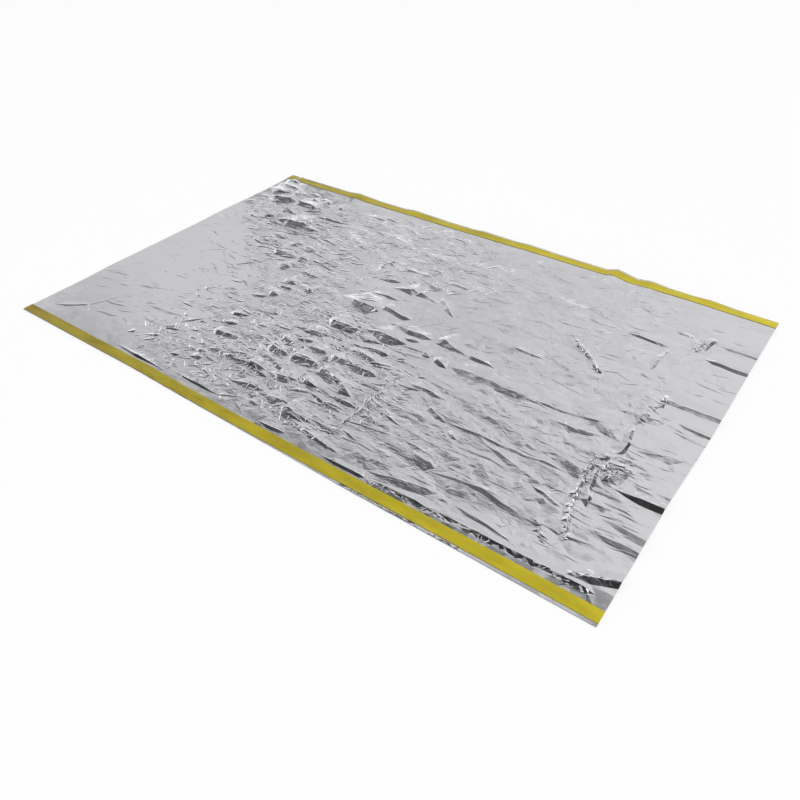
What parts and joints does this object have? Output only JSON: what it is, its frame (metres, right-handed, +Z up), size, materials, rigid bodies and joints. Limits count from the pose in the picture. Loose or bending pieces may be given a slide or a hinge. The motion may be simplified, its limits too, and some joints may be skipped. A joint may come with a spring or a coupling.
{
  "type": "emergency foil blanket",
  "caption": "Thin metallised film sheet with a reinforcing tape along each long edge, laid out open with its creases, for wrapping or covering a person to keep them warm.",
  "frame": {"origin": "middle of the blanket, on the surface that it lies on", "axes": "+X along the long edges, +Y from the near long edge to the far one, +Z up"},
  "size_m": [2.1126, 1.3486, 0.0167],
  "materials": {
    "film": "bright metallised film, creased",
    "tape": "satin yellow tape"
  },
  "bodies": {
    "root": {"foil_sheet": "film", "near_edge_tape": "tape", "far_edge_tape": "tape"}
  },
  "joints": []
}
